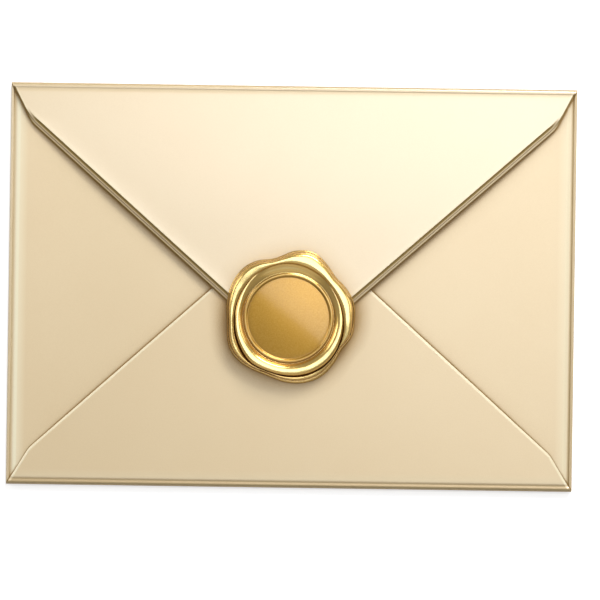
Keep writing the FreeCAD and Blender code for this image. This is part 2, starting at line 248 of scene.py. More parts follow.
@dataclass(frozen=True)
class FlapOutline:
    """Half outline of a pointed flap: shoulder edge, rounded bend, long edge and rounded tip.

    A point is its distance from the flap's middle line and its depth below the fold's outer
    edge, in millimetres. An inset is a distance inwards from the free edge.

    Attributes:
        half_fold: Half the flap's length at the fold.
        shoulder_in: How far it has narrowed at the shoulder, on each side.
        shoulder_down: Depth of the shoulder.
        reach: Depth at which the two long edges would meet.
        bend_radius: Radius of the bend at the shoulder and of the tip.
    """

    half_fold: float
    shoulder_in: float
    shoulder_down: float
    reach: float
    bend_radius: float = 8.0

    def shoulder_edge(self) -> tuple[float, float, float]:
        """Work out the line of the shoulder edge.

        Returns:
            Its outward normal, across and down, and its distance from the middle of the fold.
        """
        length = math.hypot(self.shoulder_in, self.shoulder_down)
        across, down = self.shoulder_down / length, self.shoulder_in / length
        return across, down, across * self.half_fold

    def long_edge(self) -> tuple[float, float, float]:
        """Work out the line of the long edge.

        Returns:
            Its outward normal, across and down, and its distance from the middle of the fold.
        """
        run, fall = self.half_fold - self.shoulder_in, self.reach - self.shoulder_down
        length = math.hypot(run, fall)
        return fall / length, run / length, run * self.reach / length

    def bend_centre(self) -> tuple[float, float]:
        """Find the centre of the rounded bend between the two edges.

        Returns:
            Its distance from the middle line and its depth.
        """
        a_across, a_down, a_far = self.shoulder_edge()
        b_across, b_down, b_far = self.long_edge()
        a_far, b_far = a_far - self.bend_radius, b_far - self.bend_radius
        cross = a_across * b_down - a_down * b_across
        centre_x = (a_far * b_down - a_down * b_far) / cross
        return centre_x, (a_across * b_far - a_far * b_across) / cross

    def tip_centre(self) -> float:
        """Return the depth of the rounded tip's centre."""
        _, down, far = self.long_edge()
        return (far - self.bend_radius) / down

    def half_width(self, depth: float, inset: float) -> float:
        """Measure from the middle line to an inset of the free edge.

        Args:
            depth: Depth below the fold's outer edge.
            inset: Distance inwards from the free edge.

        Returns:
            The half width, or 0 past the tip.
        """
        a_across, a_down, a_far = self.shoulder_edge()
        b_across, b_down, b_far = self.long_edge()
        centre_x, centre_down = self.bend_centre()
        radius = self.bend_radius - inset
        if depth <= centre_down + radius * a_down:
            return (a_far - inset - a_down * depth) / a_across
        if depth < centre_down + radius * b_down:
            return centre_x + math.sqrt(max(radius**2 - (depth - centre_down) ** 2, 0.0))
        tip = self.tip_centre()
        if depth <= tip + radius * b_down:
            return max((b_far - inset - b_down * depth) / b_across, 0.0)
        return math.sqrt(max(radius**2 - (depth - tip) ** 2, 0.0))

    def inset_at(self, across: float, depth: float) -> float:
        """Measure how far a point lies inside the free edge.

        Args:
            across: Distance from the middle line.
            depth: Depth below the fold's outer edge.

        Returns:
            The inset, negative outside the flap.
        """
        across = abs(across)
        a_across, a_down, a_far = self.shoulder_edge()
        b_across, b_down, b_far = self.long_edge()
        centre_x, centre_down = self.bend_centre()
        from_x, from_down = across - centre_x, depth - centre_down
        if a_across * from_down - a_down * from_x > 0 > b_across * from_down - b_down * from_x:
            return self.bend_radius - math.hypot(from_x, from_down)
        below = depth - self.tip_centre()
        if below > 0 and across * b_down < below * b_across:
            return self.bend_radius - math.hypot(across, below)
        inside_a = a_far - a_across * across - a_down * depth
        inside_b = b_far - b_across * across - b_down * depth
        return min(inside_a, inside_b)


@dataclass(frozen=True)
class Flap:
    """One flap of the folded sheet, with its fold and its pressed free edge.

    Attributes:
        edge: The edge of the address panel that it hangs on.
        fold: Cross-section of its fold.
        outline: Its half outline.
        trim: Inset and height of the free edge's cross-section, all the way round.
        trim_lead: How far behind the bead the trim has its full height.
        border: Inset and height of the cross-section that the border adds past its start.
        border_start: Depth at which the border begins.
        border_lead: How far before its start it comes in, and how far past it it is whole.
        shoulder_trim: Share of its full width that the trim has before the border.
        rise: How far the card climbs behind the fold, negative where it sags.
        climb: Depth at which it has climbed that far.
        fold_tone: Depth and painted tone of the fold: 1 is a painted highlight, -1 is painted
            shade.
        edge_tone: Inset and painted tone of the free edge.
        border_tone: Inset and painted tone that the border adds past its start.
        tone_lead: Depths, in radii of the bead, between which the edge's painted tone comes in.
        row_gaps: Gap between rows near the bend, past the tip's centre and elsewhere.
        bend_middle: How far the bend's middle lies below its centre, in radii of the bend.
        bend_span: How near a row has to be to the bend's middle to count as near.
        last_gap: Least gap between the last two rows.
    """

    edge: Edge
    fold: RolledFold
    outline: FlapOutline
    trim: Profile
    trim_lead: float = 1.2
    border: Profile = ((0.0, 0.0), (1.0, 0.0))
    border_start: float = 7.0
    border_lead: tuple[float, float] = (1.5, 2.5)
    shoulder_trim: float = 1.0
    rise: float = 0.0
    climb: float = 46.0
    fold_tone: Profile = ((0.0, 0.0),)
    edge_tone: Profile = ((0.0, 0.0),)
    border_tone: Profile = ((0.0, 0.0),)
    tone_lead: tuple[float, float] = (0.7, 1.4)
    row_gaps: tuple[float, float, float] = (0.5, 0.8, 2.2)
    bend_middle: float = 0.6
    bend_span: float = 4.5
    last_gap: float = 0.4

    def border_share(self, depth: float) -> float:
        """Return how far the border has come in at a depth."""
        before, past = self.border_lead
        return smooth_step(depth, self.border_start - before, self.border_start + past)

    def trim_inset(self, across: float, depth: float) -> float:
        """Return the inset at which the edge's cross-section is read."""
        share = self.shoulder_trim + (1.0 - self.shoulder_trim) * self.border_share(depth)
        return self.outline.inset_at(across, depth) / share

    def tone(self, across: float, depth: float) -> float:
        """Tell what light or shade is painted into the card.

        Args:
            across: Distance from the flap's middle line.
            depth: Depth below the fold's outer edge.

        Returns:
            The painted tone, from -1 painted shade to 1 painted highlight.
        """
        inset = self.trim_inset(across, depth)
        start, whole = (radii * self.fold.radius for radii in self.tone_lead)
        edge = along_profile(self.edge_tone, inset) * smooth_step(depth, start, whole)
        border = along_profile(self.border_tone, inset) * self.border_share(depth)
        return along_profile(self.fold_tone, depth) + edge + border

    def lift(self, across: float, depth: float) -> float:
        """Measure the height of the card's top side behind the bead.

        Args:
            across: Distance from the flap's middle line.
            depth: Depth below the fold's outer edge.

        Returns:
            Height over the table, in millimetres.
        """
        radius, inset = self.fold.radius, self.trim_inset(across, depth)
        climbed = min(max(depth - self.fold.crease_at, 0.0) / self.climb, 1.0)
        height = 2.0 * radius - self.fold.dip(depth)
        height += self.rise * (1.0 - (1.0 - climbed) ** 2)
        trimmed = smooth_step(depth, radius, radius + self.trim_lead)
        height += along_profile(self.trim, inset) * trimmed
        return height + along_profile(self.border, inset) * self.border_share(depth)

    def depths(self) -> list[float]:
        """Lay out the rows behind the bead, close at the crease, the bend and the tip.

        Returns:
            Depths below the fold's outer edge.
        """
        rows = self.fold.distances()
        bend = self.outline.bend_centre()[1] + self.bend_middle * self.outline.bend_radius
        tip = self.outline.tip_centre()
        end = tip + self.outline.bend_radius
        at_bend, at_tip, elsewhere = self.row_gaps
        while rows[-1] < self.outline.reach:
            here = rows[-1]
            near_bend = abs(here - bend) < self.bend_span
            rows.append(here + (at_bend if near_bend else at_tip if here > tip else elsewhere))
            if rows[-1] > end - self.last_gap:
                break
        return rows[:-1] + [end]

    def world(self, across: float, depth: float, height: float) -> Vector:
        """Turn a point of the flap into the envelope's own frame.

        Args:
            across: Distance from the flap's middle line.
            depth: Depth below the fold's outer edge.
            height: Height over the table.

        Returns:
            The point, in millimetres.
        """
        turned = {
            Edge.TOP: (across, FoldedEnvelope.half_height - depth),
            Edge.BOTTOM: (across, depth - FoldedEnvelope.half_height),
            Edge.LEFT: (depth - FoldedEnvelope.half_length, across),
            Edge.RIGHT: (FoldedEnvelope.half_length - depth, across),
        }[self.edge]
        return Vector((*turned, height))


@dataclass(frozen=True)
class FineGrain:
    """Node group with a fine, even grain and a slow drift, for card and wax.

    Attributes:
        name: Name of the group.
        patterns: Name, scale, and lowest and highest noise of each pattern.
        roughness: How strongly the noise's finer octaves show.
        detail: Number of its octaves.
    """

    name: str = "fine_grain"
    patterns: tuple[tuple[str, float, float, float], ...] = (
        ("Grain", 2400.0, 0.3, 0.7),
        ("Drift", 40.0, 0.32, 0.68),
    )
    roughness: float = 0.6
    detail: float = 3.0

    def group(self) -> bpy.types.NodeTree:
        """Build the node group once.

        Returns:
            The group, with outputs Grain and Drift, each from 0 to 1.
        """
        if self.name in bpy.data.node_groups:
            return bpy.data.node_groups[self.name]
        tree = bpy.data.node_groups.new(self.name, "ShaderNodeTree")
        tree.interface.new_socket("Vector", in_out="INPUT", socket_type="NodeSocketVector")
        for name, scale, _, _ in self.patterns:
            kind = "NodeSocketFloat"
            size = tree.interface.new_socket(f"{name} Scale", in_out="INPUT", socket_type=kind)
            size.default_value = scale
            tree.interface.new_socket(name, in_out="OUTPUT", socket_type=kind)
        entry = tree.nodes.new("NodeGroupInput")
        leave = tree.nodes.new("NodeGroupOutput")
        for name, _, low, high in self.patterns:
            pattern = tree.nodes.new("ShaderNodeTexNoise")
            pattern.inputs["Detail"].default_value = self.detail
            pattern.inputs["Roughness"].default_value = self.roughness
            spread = tree.nodes.new("ShaderNodeMapRange")
            spread.inputs["From Min"].default_value = low
            spread.inputs["From Max"].default_value = high
            tree.links.new(entry.outputs["Vector"], pattern.inputs["Vector"])
            tree.links.new(entry.outputs[f"{name} Scale"], pattern.inputs["Scale"])
            tree.links.new(pattern.outputs["Fac"], spread.inputs["Value"])
            tree.links.new(spread.outputs["Result"], leave.inputs[name])
        return tree


class NodeBench:
    """A material's node tree with short calls to add and join nodes."""

    open_share: ClassVar[float] = 0.97
    # Openness from which a surface gets no shade painted for lying in a crevice.
    """Openness from which a surface is in no crevice's shade."""
    ao_samples: ClassVar[int] = 8
    """Number of samples of that openness."""

    def __init__(self, name: str) -> None:
        """Start a material that holds a Principled shader.

        Args:
            name: Name of the material.
        """
        self.material = bpy.data.materials.new(name)
        self.material.use_nodes = True
        self.tree = self.material.node_tree
        self.shader = self.tree.nodes["Principled BSDF"]

    def node(self, kind: str, **settings: object) -> bpy.types.Node:
        """Add a node.

        Args:
            kind: The node's type.
            settings: Attributes to set on it.

        Returns:
            The new node.
        """
        made = self.tree.nodes.new(kind)
        for key, value in settings.items():
            setattr(made, key, value)
        return made

    def join(self, source: bpy.types.NodeSocket, target: bpy.types.NodeSocket) -> None:
        """Link two sockets."""
        self.tree.links.new(source, target)

    def fix(self, values: dict[str, float]) -> None:
        """Set constants on the shader's own sockets."""
        for name, value in values.items():
            self.shader.inputs[name].default_value = value

    def ranged(
        self, source: bpy.types.NodeSocket, span: tuple[float, float, float, float]
    ) -> bpy.types.NodeSocket:
        """Map a value from one range to another.

        Args:
            source: The value.
            span: Lowest and highest value, then what they become.

        Returns:
            The mapped value.
        """
        node = self.node("ShaderNodeMapRange")
        for name, value in zip(("From Min", "From Max", "To Min", "To Max"), span):
            node.inputs[name].default_value = value
        self.join(source, node.inputs["Value"])
        return node.outputs["Result"]

    def blend(
        self,
        factor: bpy.types.NodeSocket,
        first: bpy.types.NodeSocket | Colour,
        second: bpy.types.NodeSocket | Colour,
    ) -> bpy.types.NodeSocket:
        """Blend two colours.

        Args:
            factor: Share of the second colour.
            first: Colour or socket.
            second: Colour or socket.

        Returns:
            The blended colour.
        """
        node = self.node("ShaderNodeMix", data_type="RGBA")
        self.join(factor, node.inputs["Factor"])
        for part, socket in ((first, node.inputs[6]), (second, node.inputs[7])):
            if isinstance(part, tuple):
                socket.default_value = (*part, 1.0)
            else:
                self.join(part, socket)
        return node.outputs[2]

    def grain(self, scales: tuple[float, float]) -> bpy.types.Node:
        """Place the shared grain group on the piece's own coordinates.

        Args:
            scales: Scales of the grain and of the drift.

        Returns:
            The group node.
        """
        place = self.node("ShaderNodeTexCoord")
        group = self.node("ShaderNodeGroup", node_tree=FineGrain().group())
        self.join(place.outputs["Object"], group.inputs["Vector"])
        for name, value in zip(("Grain Scale", "Drift Scale"), scales):
            group.inputs[name].default_value = value
        return group

    def times(
        self, first: bpy.types.NodeSocket, second: bpy.types.NodeSocket
    ) -> bpy.types.NodeSocket:
        """Multiply two values.

        Args:
            first: A value.
            second: Another.

        Returns:
            Their product.
        """
        node = self.node("ShaderNodeMath", operation="MULTIPLY")
        self.join(first, node.inputs[0])
        self.join(second, node.inputs[1])
        return node.outputs[0]

    def crevice_painted_shade(self, reach: float, closed: float) -> bpy.types.NodeSocket:
        """Mask where shade is painted into the folds and crevices, by their openness.

        Args:
            reach: How far away, in metres, a neighbour still adds to the painted shade.
            closed: Openness at which the mask is full.

        Returns:
            A value from 0 in the open to 1 in a crevice.
        """
        node = self.node("ShaderNodeAmbientOcclusion", samples=self.ao_samples)
        node.inputs["Distance"].default_value = reach
        return self.ranged(node.outputs["AO"], (closed, self.open_share, 1.0, 0.0))

    def bump(self, height: bpy.types.NodeSocket, strength: float, distance: float) -> None:
        """Raise the surface.

        Args:
            height: The relief, from 0 to 1.
            strength: How strongly it shows.
            distance: Its full height, in metres.
        """
        node = self.node("ShaderNodeBump")
        node.inputs["Strength"].default_value = strength
        node.inputs["Distance"].default_value = distance
        self.join(height, node.inputs["Height"])
        self.join(node.outputs["Normal"], self.shader.inputs["Normal"])


@dataclass(frozen=True)
class PearlCardFinish:
    """Champagne card with a white pearl coat and a fine felt grain.

    Attributes:
        deep: Colour of the card.
        drift: Colour that its slow variation moves towards.
        drift_share: How far it moves at most.
        pit: Colour in the felt's pits.
        pit_share: How strongly the pits show.
        shade: Colour of the shade painted deep in a crevice.
        painted_highlight: Colour of the highlight painted on folds and edges, at tone 1.
        painted_shade: Colour of the shade painted on folds, edges and corner slits, at tone -1.
        metallic: Share of the gloss that takes the card's colour, falling to none where a highlight
            is painted.
        roughness: Roughness on the felt's tops and in its pits.
        pearl: Weight of the white coat, on the body and on the top flap.
        coat_roughness: Roughness of that coat.
        coat_ior: Its index of refraction, high as that of mica flakes.
        coat_gone: Depth of the shade painted in a crevice at which no coat is left.
        top_flap: Heights in metres between which the body ends and the top flap begins.
        top_flap_shade: Share of the crevices' painted shade that the top flap takes.
        crevice: Reach in metres of the shade painted in a crevice, and the openness at which it is
            full.
        scales: Scales of the felt's grain and of the slow variation.
        felt: Strength of the felt's relief, and its height in metres.
    """

    deep: Colour = (0.80, 0.625, 0.37)
    drift: Colour = (0.82, 0.655, 0.40)
    drift_share: float = 0.5
    pit: Colour = (0.62, 0.44, 0.21)
    pit_share: float = 0.12
    shade: Colour = (0.26, 0.135, 0.02)
    painted_highlight: Colour = (0.98, 0.90, 0.66)
    painted_shade: Colour = (0.27, 0.178, 0.05)
    metallic: float = 0.2
    roughness: tuple[float, float] = (0.34, 0.42)
    pearl: tuple[float, float] = (0.4, 0.9)
    coat_roughness: float = 0.3
    coat_ior: float = 2.6
    coat_gone: float = 0.6
    top_flap: tuple[float, float] = (0.0020, 0.0024)
    top_flap_shade: float = 0.3
    crevice: tuple[float, float] = (0.006, 0.66)
    scales: tuple[float, float] = (2600.0, 35.0)
    felt: tuple[float, float] = (0.25, 0.00003)

    def material(self) -> bpy.types.Material:
        """Build the card's material.

        Returns:
            The material, which reads the mesh's painted tone and Object coordinates, and paints
            shade into the crevices.
        """
        bench = NodeBench("pearl_card")
        sockets = bench.shader.inputs
        grain = bench.grain(self.scales)
        place = bench.node("ShaderNodeTexCoord")
        parts = bench.node("ShaderNodeSeparateXYZ")
        bench.join(place.outputs["Object"], parts.inputs["Vector"])
        height = parts.outputs["Z"]
        tone = bench.node("ShaderNodeAttribute", attribute_name=TONE).outputs["Fac"]
        # Shade painted into the crevices by their openness, less of it on the top flap.
        shaded = bench.ranged(height, (*self.top_flap, 1.0, self.top_flap_shade))
        hollow = bench.times(bench.crevice_painted_shade(*self.crevice), shaded)
        bench.join(self.colour(bench, grain, tone, hollow), sockets["Base Color"])
        bench.join(self.coat(bench, height, tone, hollow), sockets["Coat Weight"])
        bench.fix({"Coat Roughness": self.coat_roughness, "Coat IOR": self.coat_ior})
        roughness = bench.ranged(grain.outputs["Grain"], (0.0, 1.0, *self.roughness))
        bench.join(roughness, sockets["Roughness"])
        # The metallic share falls to none where a highlight is painted, so that the painted
        # highlight stays white.
        bench.join(bench.ranged(tone, (0.0, 1.0, self.metallic, 0.0)), sockets["Metallic"])
        bench.bump(grain.outputs["Grain"], *self.felt)
        return bench.material

    def colour(
        self,
        bench: NodeBench,
        grain: bpy.types.Node,
        tone: bpy.types.NodeSocket,
        hollow: bpy.types.NodeSocket,
    ) -> bpy.types.NodeSocket:
        """Mix the card's colour, with highlight and shade painted in.

        Args:
            bench: The material's bench.
            grain: The grain group.
            tone: The card's painted tone.
            hollow: Mask of the shade painted into the crevices.

        Returns:
            The colour.
        """
        drifted = bench.ranged(grain.outputs["Drift"], (0.0, 1.0, 0.0, self.drift_share))
        fleck = bench.ranged(grain.outputs["Grain"], (0.0, 1.0, 0.0, self.pit_share))
        felt = bench.blend(fleck, bench.blend(drifted, self.deep, self.drift), self.pit)
        # Painted highlight where the tone is above 0.
        with_painted_highlight = bench.blend(bench.ranged(tone, (0.0, 1.0, 0.0, 1.0)), felt, self.painted_highlight)
        # Painted shade where the tone is below 0.
        pressed = bench.blend(bench.ranged(tone, (-1.0, 0.0, 1.0, 0.0)), with_painted_highlight, self.painted_shade)
        # Painted shade deep in the crevices.
        return bench.blend(hollow, pressed, self.shade)

    def coat(
        self,
        bench: NodeBench,
        height: bpy.types.NodeSocket,
        tone: bpy.types.NodeSocket,
        hollow: bpy.types.NodeSocket,
    ) -> bpy.types.NodeSocket:
        """Weigh the pearl coat, which is gone where highlight or shade is painted into the card and
        in the shade painted deep in a crevice.

        Args:
            bench: The material's bench.
            height: Height over the table, in metres.
            tone: The card's painted tone.
            hollow: Mask of the shade painted into the crevices.

        Returns:
            The coat's weight.
        """
        # How strongly highlight or shade is painted here; the pearl coat gives way to it.
        painted_amount = bench.node("ShaderNodeMath", operation="ABSOLUTE")
        bench.join(tone, painted_amount.inputs[0])
        pearl = bench.ranged(height, (*self.top_flap, *self.pearl))
        pearl_unpainted = bench.times(pearl, bench.ranged(painted_amount.outputs[0], (0.0, 1.0, 1.0, 0.0)))
        return bench.times(pearl_unpainted, bench.ranged(hollow, (0.0, self.coat_gone, 1.0, 0.0)))


@dataclass(frozen=True)
class GoldWaxFinish:
    """Gold sealing wax: glossy where it flowed, satin where the stamp pressed it.

    Attributes:
        painted_highlight_gold: Colour of the highlight painted on a level top that flowed.
        rich: Colour of its slopes.
        level: Upward part of the normal up to which a slope keeps the rich colour, and from which
            the highlight is painted in full.
        satin: Colour of the stamped floor, on the tops of its grain.
        satin_shade: Colour in the grain's pits.
        shade: Colour of the shade painted deep in a crevice.
        metallic: Share of the metal flakes.
        roughness: Roughness where it flowed and where it was stamped.
        coat_weight: Weight of the clear gloss over the flakes.
        coat_roughness: Roughness of that gloss.
        coat_ior: Its index of refraction.
        stamp_radius: Radius of the stamped floor, in millimetres.
        stamp_edge: Width of the change at its edge, in millimetres.
        crevice: Reach in metres of the shade painted in a crevice, and the openness at which it is
            full.
        scales: Scales of the grain and of the slow variation.
        grain_share: Share of the grain's relief where it flowed and where it was stamped.
        relief: Strength of the grain's relief, and its height in metres.
    """

    painted_highlight_gold: Colour = (0.95, 0.74, 0.30)
    rich: Colour = (0.73, 0.47, 0.115)
    level: tuple[float, float] = (0.965, 0.999)
    satin: Colour = (0.535, 0.302, 0.038)
    satin_shade: Colour = (0.45, 0.228, 0.016)
    shade: Colour = (0.30, 0.14, 0.012)
    metallic: float = 0.9
    roughness: tuple[float, float] = (0.22, 0.34)
    coat_weight: float = 0.5
    coat_roughness: float = 0.12
    coat_ior: float = 1.9
    stamp_radius: float = 12.1
    stamp_edge: float = 0.8
    crevice: tuple[float, float] = (0.0016, 0.5)
    scales: tuple[float, float] = (2600.0, 90.0)
    grain_share: tuple[float, float] = (0.15, 1.0)
    relief: tuple[float, float] = (0.2, 0.00004)

    def stamped(self, bench: NodeBench) -> bpy.types.NodeSocket:
        """Mask the stamped floor.

        Args:
            bench: The material's bench.

        Returns:
            A value from 0 where the wax flowed to 1 where it was stamped.
        """
        place = bench.node("ShaderNodeTexCoord")
        shift = bench.node("ShaderNodeMapping")
        shift.inputs["Location"].default_value = (-SEAL_CENTRE[0] * MM, -SEAL_CENTRE[1] * MM, 0.0)
        shift.inputs["Scale"].default_value = (1.0, 1.0, 0.0)
        bench.join(place.outputs["Object"], shift.inputs["Vector"])
        radius = bench.node("ShaderNodeVectorMath", operation="LENGTH")
        bench.join(shift.outputs["Vector"], radius.inputs[0])
        edge = self.stamp_radius * MM
        return bench.ranged(radius.outputs["Value"], (edge, edge + self.stamp_edge * MM, 1.0, 0.0))

    def material(self) -> bpy.types.Material:
        """Build the wax's material.

        Returns:
            The material, which reads Object coordinates, and the surface's own normal to paint a
            highlight on level tops.
        """
        bench = NodeBench("gold_wax")
        sockets = bench.shader.inputs
        grain = bench.grain(self.scales).outputs["Grain"]
        stamped = self.stamped(bench)
        facing = bench.node("ShaderNodeNewGeometry")
        upward = bench.node("ShaderNodeSeparateXYZ")
        bench.join(facing.outputs["Normal"], upward.inputs["Vector"])
        # Highlight painted on level tops, by how far the normal points up.
        painted_highlight_share = bench.ranged(upward.outputs["Z"], (*self.level, 0.0, 1.0))
        flowed = bench.blend(painted_highlight_share, self.rich, self.painted_highlight_gold)
        tint = bench.blend(stamped, flowed, bench.blend(grain, self.satin_shade, self.satin))
        # Painted shade deep in the crevices.
        shaded = bench.blend(bench.crevice_painted_shade(*self.crevice), tint, self.shade)
        bench.join(shaded, sockets["Base Color"])
        bench.join(bench.ranged(stamped, (0.0, 1.0, *self.roughness)), sockets["Roughness"])
        bench.fix(
            {
                "Metallic": self.metallic,
                "Coat Weight": self.coat_weight,
                "Coat Roughness": self.coat_roughness,
                "Coat IOR": self.coat_ior,
            }
        )
        grain_share = bench.ranged(stamped, (0.0, 1.0, *self.grain_share))
        bench.bump(bench.times(grain_share, grain), *self.relief)
        return bench.material


@dataclass
class FoldedEnvelope:
    """The whole envelope: one sheet of card folded round its pocket. Sizes are in millimetres.

    Attributes:
        half_length: Half its outer length.
        half_height: Half its outer height.
        card: Thickness of the card.
        side_tip_gap: Gap in which the side flaps' long edges would meet, between left and right.
        bottom_reach: How far past the middle the bottom flap's long edges would meet.
        top_reach: How far past it the top flap's would.
        interior_columns: Number of columns between the ones along the free edges.
        insets: Distances of the columns along a free edge.
        slit_painted_shadow: Strength of the shadow painted on a side flap where it runs into a
            corner slit.
        slit_width: Distances from the slit between which that painted shadow fades.
        slit_depth: Distances from the long fold between which it fades.
        crease_angle: Angle in degrees above which an edge stays sharp.
        merge: Distance in metres within which the panels' and the flaps' vertices are joined.
        sliver: Length in metres below which an edge is taken out.
        flaps: The four flaps.
    """

    half_length: ClassVar[float] = 81.0
    half_height: ClassVar[float] = 57.5
    card: float = 0.35
    side_tip_gap: float = 11.2
    bottom_reach: float = 19.7
    top_reach: float = 20.3
    interior_columns: int = 22
    insets: tuple[float, ...] = (
        0.0, 0.06, 0.14, 0.28, 0.42, 0.5, 0.58, 0.7, 0.84, 0.95, 1.05, 1.2, 1.36, 1.5,
        1.6, 1.75, 1.88, 2.0, 2.15, 2.4, 2.8, 3.4, 4.4, 6.4,
    )
    slit_painted_shadow: float = 1.8
    slit_width: tuple[float, float] = (0.05, 0.45)
    slit_depth: tuple[float, float] = (3.0, 8.0)
    crease_angle: float = 35.0
    merge: float = 0.00001
    sliver: float = 0.000002
    flaps: dict[Edge, Flap] = field(init=False)

    def __post_init__(self) -> None:
        """Lay out the four flaps."""
        # Highlight (above 0) and shade (below 0) painted across the side folds' beads and creases.
        left_tone = (
            (0.3, 0.2), (0.7, 0.0), (1.0, -0.4), (1.3, -0.3), (1.7, 0.5), (2.1, 1.0), (2.7, 1.0),
            (3.2, 0.3), (3.6, 0.0),
        )
        right_tone = (
            (0.1, -0.3), (0.5, -0.3), (0.8, -0.4), (1.0, -0.7), (1.4, -0.5), (1.8, 0.5),
            (2.8, 0.5), (3.5, 0.0),
        )
        self.flaps = {
            Edge.LEFT: self.side_flap(Edge.LEFT, left_tone),
            Edge.RIGHT: self.side_flap(Edge.RIGHT, right_tone),
            Edge.BOTTOM: self.bottom_flap(),
            Edge.TOP: self.top_flap(),
        }

    def side_flap(self, edge: Edge, fold_tone: Profile) -> Flap:
        """Lay out a side flap, which lies under the others and sags a little.

        Args:
            edge: Left or right.
            fold_tone: Depth and tone of its fold.

        Returns:
            The flap.
        """
        return Flap(
            edge,
            RolledFold(radius=0.8, crease_at=1.12, crease_depth=0.19, ramp=1.9),
            FlapOutline(
                half_fold=57.3,
                shoulder_in=4.5,
                shoulder_down=16.0,
                reach=self.half_length - self.side_tip_gap / 2.0,
            ),
            trim=((0.0, -0.06), (0.08, 0.0)),
            rise=-0.4,
            climb=30.0,
            fold_tone=fold_tone,
        )

    def bottom_flap(self) -> Flap:
        """Lay out the bottom flap, whose edges are glued down on the side flaps.

        Returns:
            The flap.
        """
        return Flap(
            Edge.BOTTOM,
            RolledFold(radius=0.985, crease_at=1.6, crease_depth=0.17, ramp=0.9),
            FlapOutline(
                half_fold=80.9,
                shoulder_in=6.4,
                shoulder_down=10.5,
                reach=self.half_height + self.bottom_reach,
            ),
            trim=((0.0, -0.26), (0.06, -0.2), (0.58, -0.02), (0.7, 0.0)),
            # Shade and highlight painted across the bottom fold, and a highlight painted along the
            # free edge.
            fold_tone=(
                (0.3, -0.4), (0.6, -0.8), (1.0, -0.6), (1.3, -0.4), (1.7, -0.6), (2.0, -0.3),
                (2.3, 0.3), (2.7, 0.1), (3.0, 0.0),
            ),
            edge_tone=((0.0, 0.2), (0.14, 0.6), (0.5, 0.7), (0.7, 0.2), (0.84, 0.0)),
        )

    def top_flap(self) -> Flap:
        """Lay out the top flap, with the border that is pressed into its free edge.

        Returns:
            The flap.
        """
        return Flap(
            Edge.TOP,
            RolledFold(radius=1.15, crease_at=1.6, crease_depth=0.11, ramp=1.2),
            FlapOutline(
                half_fold=80.9,
                shoulder_in=6.0,
                shoulder_down=11.5,
                reach=self.half_height + self.top_reach,
            ),
            trim=((0.0, -0.36), (0.06, -0.29), (0.5, -0.27), (0.7, -0.2), (0.84, 0.0)),
            border=(
                (0.0, -0.2), (1.05, -0.2), (1.36, -0.17), (1.6, -0.1), (1.75, 0.05), (1.88, 0.08),
                (2.8, 0.04), (4.4, 0.0),
            ),
            border_start=9.0,
            shoulder_trim=0.5,
            rise=0.9,
            climb=40.0,
            # Shade and highlight painted across the top fold, along the free edge and along the
            # border.
            fold_tone=(
                (0.1, -0.5), (0.4, -0.6), (0.7, -0.35), (1.0, -0.1), (1.3, 0.05), (1.7, -0.25),
                (2.1, -0.1), (2.5, 0.0),
            ),
            edge_tone=(
                (0.0, -1.2), (0.5, -1.2), (0.7, -1.0), (0.84, -0.4), (1.0, 0.3), (1.5, 0.3),
                (1.9, 0.0),
            ),
            border_tone=(
                (0.0, 0.1), (0.14, 0.2), (0.36, 0.85), (0.7, 0.6), (0.84, -0.15), (1.0, -0.95),
                (1.2, -1.3), (1.5, -1.6), (1.75, -1.3), (1.88, 0.3), (2.4, 0.3), (3.0, 0.0),
            ),
        )

    def column_positions(self, half: Callable[[float], float]) -> list[float]:
        """Spread the columns of a row between its two free edges.

        Args:
            half: Half width of the row at an inset.

        Returns:
            Distances from the middle line, from left to right.
        """
        near = [half(inset) for inset in self.insets]
        last = near[-1]
        inner = [
            last * (2.0 * step / self.interior_columns - 1.0)
            for step in range(1, self.interior_columns)
        ]
        return [-x for x in near] + inner + near[::-1]

    def flap_rows(self, flap: Flap) -> list[list[tuple[Vector, float]]]:
        """Lay every vertex of a flap, row by row from the address panel to the tip.

        Args:
            flap: The flap.

        Returns:
            Rows of points in millimetres, each with the card's tone.
        """
        radius = flap.fold.radius
        start = self.panel_halves(flap.edge)
        rows = []
        for turn in range(flap.fold.turns + 1):
            depth, height = flap.fold.bead(turn)
            if turn * 2 <= flap.fold.turns:
                share = (radius - depth) / radius
                end = flap.outline.half_width(0.0, 0.0)
                line = self.column_positions(lambda inset: start + (end - start) * share - inset)
                rows.append([(flap.world(across, depth, height), 0.0) for across in line])
            else:
                line = self.column_positions(lambda inset: flap.outline.half_width(depth, inset))
                rows.append([self.card_at(flap, across, depth, height) for across in line])
        for depth in flap.depths():
            line = self.column_positions(lambda inset: flap.outline.half_width(depth, inset))
            rows.append(
                [self.card_at(flap, across, depth, flap.lift(across, depth)) for across in line]
            )
        return rows

    def card_at(
        self, flap: Flap, across: float, depth: float, height: float
    ) -> tuple[Vector, float]:
        """Lay a point of a flap, with shadow painted where a side flap runs into a corner slit.

        Args:
            flap: The flap.
            across: Distance from its middle line.
            depth: Depth below its fold's outer edge.
            height: Height over the table.

        Returns:
            The point in millimetres, and the card's painted tone there.
        """
        point, tone = flap.world(across, depth, height), flap.tone(across, depth)
        if flap.edge.is_long:
            return point, tone
        # Shadow painted on a side flap in the slit beside a long flap's corner.
        from_top, from_bottom = self.half_height - point.y, self.half_height + point.y
        for edge, below in ((Edge.TOP, from_top), (Edge.BOTTOM, from_bottom)):
            outside = -self.flaps[edge].outline.inset_at(point.x, below)
            near = 1.0 - smooth_step(outside, *self.slit_width)
            tone -= self.slit_painted_shadow * near * (1.0 - smooth_step(below, *self.slit_depth))
        return point, tone

